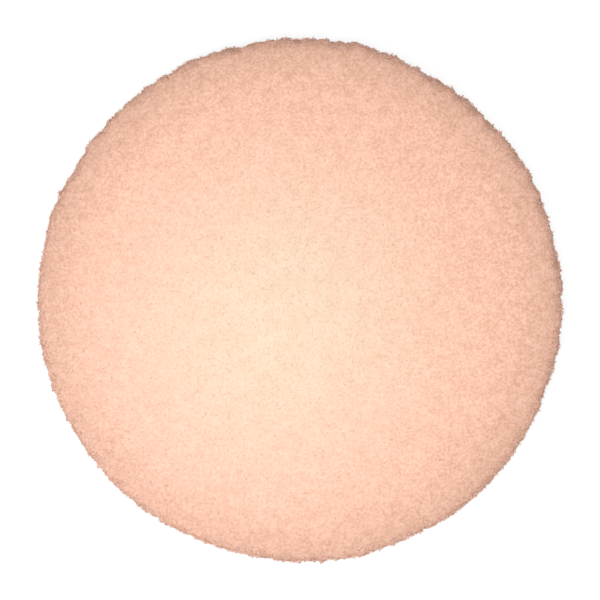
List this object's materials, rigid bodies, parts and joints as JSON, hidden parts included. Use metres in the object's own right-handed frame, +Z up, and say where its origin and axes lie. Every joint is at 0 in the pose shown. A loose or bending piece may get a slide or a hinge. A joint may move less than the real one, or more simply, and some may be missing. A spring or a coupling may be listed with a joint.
{
  "type": "floor polishing pad",
  "caption": "Thick round disc of lofty non-woven fibre with flat faces, softly rounded edges and a ragged cut rim, for a rotary floor polisher.",
  "frame": {"origin": "centre of the lower face, which lies on the floor", "axes": "+Z up through the thickness, from the working face to the face that the pad holder grips; X and Y along the faces"},
  "size_m": [0.5122, 0.51, 0.025],
  "materials": {
    "fibre_web": "matte"
  },
  "bodies": {
    "root": {"polishing_pad": "fibre_web"}
  },
  "joints": []
}
